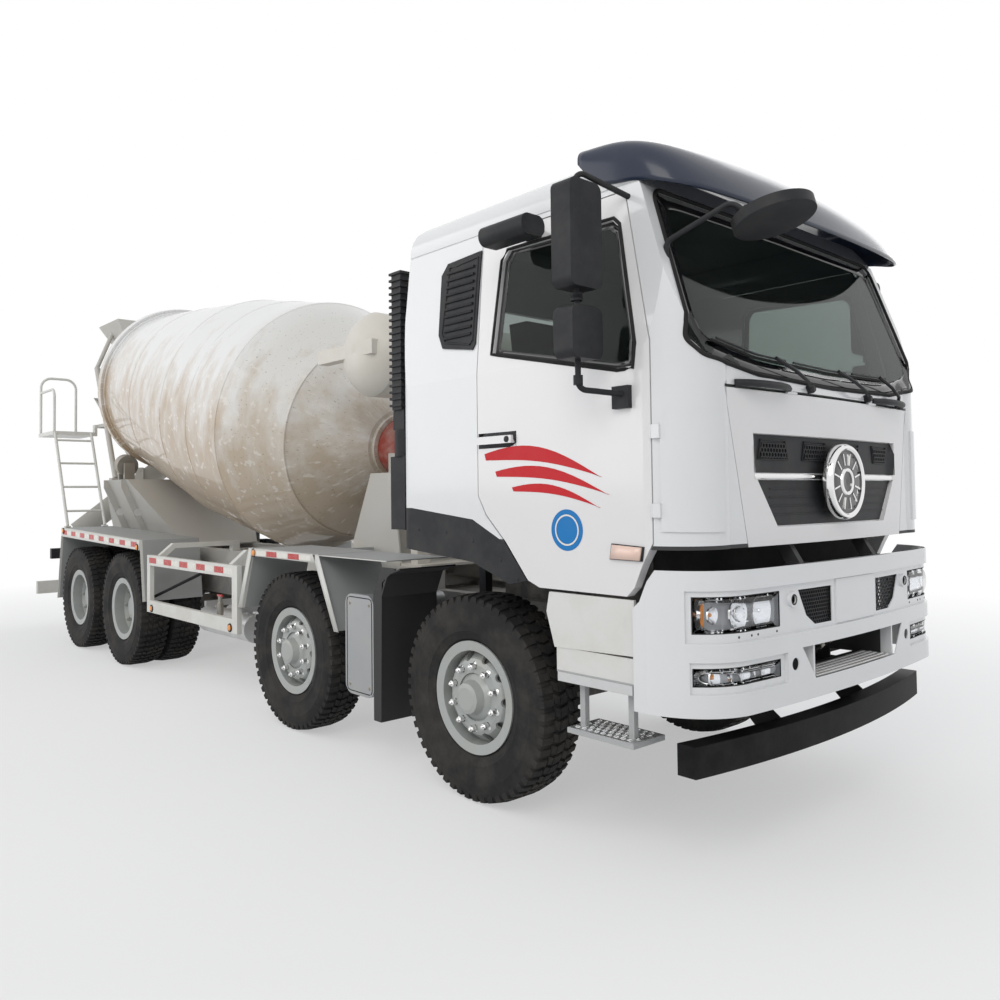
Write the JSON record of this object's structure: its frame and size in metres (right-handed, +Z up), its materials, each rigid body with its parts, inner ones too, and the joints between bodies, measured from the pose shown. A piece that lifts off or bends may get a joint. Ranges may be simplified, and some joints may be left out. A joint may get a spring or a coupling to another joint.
{
  "type": "concrete mixer truck",
  "caption": "Four-axle forward-control truck with a rotating inclined mixing drum, charging hopper, swinging discharge chute, steered front wheels and twin driven rear wheels.",
  "frame": {"origin": "on the ground under the middle of the overall length and width", "axes": "+X towards the front, +Y to the truck's left, +Z up"},
  "size_m": [10.2856, 3.08, 3.9414],
  "materials": {
    "chassis_grey": "satin",
    "cast_dark": "matte",
    "aluminium_tank": "brushed",
    "grey_cover": "satin",
    "black_plastic": "matte",
    "visor_plastic": "gloss",
    "interior_plastic": "matte",
    "white_paint": "gloss",
    "white_steel": "satin",
    "lamp_clear": "clear",
    "black_steel": "satin",
    "glass": "tinted",
    "drum_paint": "dusty",
    "red_paint": "satin",
    "deck_grey": "dusty",
    "tank_cream": "satin",
    "roller_steel": "worn",
    "tyre_rubber": "matte",
    "wheel_steel": "satin"
  },
  "bodies": {
    "root": {"frame": "chassis_grey", "front_axles": "cast_dark", "drive_axles": "cast_dark", "leaf_springs": "cast_dark", "engine": "cast_dark", "tanks": "aluminium_tank", "silencer_box": "grey_cover", "intake_stack": "black_plastic", "bumper": "white_paint", "lamps": "lamp_clear", "underrun_bar": "black_steel", "cab_steps": "white_paint", "drum_drive": "red_paint", "front_pedestal": "deck_grey", "water_tank": "tank_cream", "mixer_subframe": "deck_grey", "rear_pedestal": "deck_grey", "drum_rollers": "roller_steel", "charging_hopper": "deck_grey", "collecting_funnel": "deck_grey", "ladder": "white_steel", "fenders": "white_steel", "side_guards": "white_steel", "rear_guard": "white_steel"},
    "cab": {"cab_shell": "white_paint", "windscreen": "glass", "cab_trim": "black_plastic", "sun_visor": "visor_plastic", "cab_interior": "interior_plastic", "front_mirror": "black_plastic"},
    "door_right": {"door_right": "white_paint", "door_glass_right": "glass", "mirrors_right": "black_plastic"},
    "door_left": {"door_left": "white_paint", "door_glass_left": "glass", "mirrors_left": "black_plastic"},
    "front_flap": {"front_flap": "white_paint"},
    "drum": {"drum": "drum_paint"},
    "chute_bracket": {"chute_bracket": "deck_grey"},
    "chute": {"chute": "deck_grey"},
    "knuckle_1_right": {"knuckle_1_right": "cast_dark"},
    "wheel_1_right": {"wheel_1_right": "wheel_steel", "tyre_1_right": "tyre_rubber"},
    "knuckle_1_left": {"knuckle_1_left": "cast_dark"},
    "wheel_1_left": {"wheel_1_left": "wheel_steel", "tyre_1_left": "tyre_rubber"},
    "knuckle_2_right": {"knuckle_2_right": "cast_dark"},
    "wheel_2_right": {"wheel_2_right": "wheel_steel", "tyre_2_right": "tyre_rubber"},
    "knuckle_2_left": {"knuckle_2_left": "cast_dark"},
    "wheel_2_left": {"wheel_2_left": "wheel_steel", "tyre_2_left": "tyre_rubber"},
    "wheel_3_right": {"wheel_3_right": "wheel_steel", "tyres_3_right": "tyre_rubber"},
    "wheel_3_left": {"wheel_3_left": "wheel_steel", "tyres_3_left": "tyre_rubber"},
    "wheel_4_right": {"wheel_4_right": "wheel_steel", "tyres_4_right": "tyre_rubber"},
    "wheel_4_left": {"wheel_4_left": "wheel_steel", "tyres_4_left": "tyre_rubber"}
  },
  "joints": [
    {"name": "cab_tilt", "type": "hinge", "parent": "root", "child": "cab", "pos_m": [4.73717, 0, 1.3], "axis": [0, -1, 0], "range_deg": [-50, 0]},
    {"name": "door_right_hinge", "type": "hinge", "parent": "cab", "child": "door_right", "pos_m": [4.52217, -1.238, 2.1], "axis": [0, 0, 1], "range_deg": [0, 70]},
    {"name": "door_left_hinge", "type": "hinge", "parent": "cab", "child": "door_left", "pos_m": [4.52217, 1.238, 2.1], "axis": [0, 0, -1], "range_deg": [0, 70]},
    {"name": "front_flap_hinge", "type": "hinge", "parent": "cab", "child": "front_flap", "pos_m": [4.74317, 0, 2.131], "axis": [0, -1, 0], "range_deg": [0, 80]},
    {"name": "steer_1_right", "type": "hinge", "parent": "root", "child": "knuckle_1_right", "pos_m": [3.25717, -0.868, 0.56], "axis": [0, 0, 1], "range_deg": [-36, 36]},
    {"name": "wheel_1_right_spin", "type": "hinge", "parent": "knuckle_1_right", "child": "wheel_1_right", "pos_m": [3.25717, -1.02, 0.56], "axis": [0, 1, 0], "continuous": true},
    {"name": "steer_1_left", "type": "hinge", "parent": "root", "child": "knuckle_1_left", "pos_m": [3.25717, 0.868, 0.56], "axis": [0, 0, 1], "range_deg": [-36, 36]},
    {"name": "wheel_1_left_spin", "type": "hinge", "parent": "knuckle_1_left", "child": "wheel_1_left", "pos_m": [3.25717, 1.02, 0.56], "axis": [0, 1, 0], "continuous": true},
    {"name": "steer_2_right", "type": "hinge", "parent": "root", "child": "knuckle_2_right", "pos_m": [1.33717, -0.868, 0.56], "axis": [0, 0, 1], "range_deg": [-25, 25]},
    {"name": "wheel_2_right_spin", "type": "hinge", "parent": "knuckle_2_right", "child": "wheel_2_right", "pos_m": [1.33717, -1.02, 0.56], "axis": [0, 1, 0], "continuous": true},
    {"name": "steer_2_left", "type": "hinge", "parent": "root", "child": "knuckle_2_left", "pos_m": [1.33717, 0.868, 0.56], "axis": [0, 0, 1], "range_deg": [-25, 25]},
    {"name": "wheel_2_left_spin", "type": "hinge", "parent": "knuckle_2_left", "child": "wheel_2_left", "pos_m": [1.33717, 1.02, 0.56], "axis": [0, 1, 0], "continuous": true},
    {"name": "wheel_3_right_spin", "type": "hinge", "parent": "root", "child": "wheel_3_right", "pos_m": [-1.88283, -0.916, 0.56], "axis": [0, 1, 0], "continuous": true},
    {"name": "wheel_3_left_spin", "type": "hinge", "parent": "root", "child": "wheel_3_left", "pos_m": [-1.88283, 0.916, 0.56], "axis": [0, 1, 0], "continuous": true},
    {"name": "wheel_4_right_spin", "type": "hinge", "parent": "root", "child": "wheel_4_right", "pos_m": [-3.23283, -0.916, 0.56], "axis": [0, 1, 0], "continuous": true},
    {"name": "wheel_4_left_spin", "type": "hinge", "parent": "root", "child": "wheel_4_left", "pos_m": [-3.23283, 0.916, 0.56], "axis": [0, 1, 0], "continuous": true},
    {"name": "drum_spin", "type": "hinge", "parent": "root", "child": "drum", "pos_m": [1.10717, 0, 2.08], "axis": [-0.9799, 0, 0.1994], "continuous": true},
    {"name": "chute_swing", "type": "hinge", "parent": "root", "child": "chute_bracket", "pos_m": [-4.44283, 0, 1.5], "axis": [0, 0, 1], "range_deg": [-130, 20]},
    {"name": "chute_tilt", "type": "hinge", "parent": "chute_bracket", "child": "chute", "pos_m": [-4.44283, 0, 2.01], "axis": [-0.8192, 0.5736, 0], "range_deg": [-4, 23]}
  ],
  "couplings": [
    {"joint": "steer_1_left", "follows": "steer_1_right", "ratio": 1},
    {"joint": "steer_2_right", "follows": "steer_1_right", "ratio": 0.67},
    {"joint": "steer_2_left", "follows": "steer_1_right", "ratio": 0.67}
  ]
}
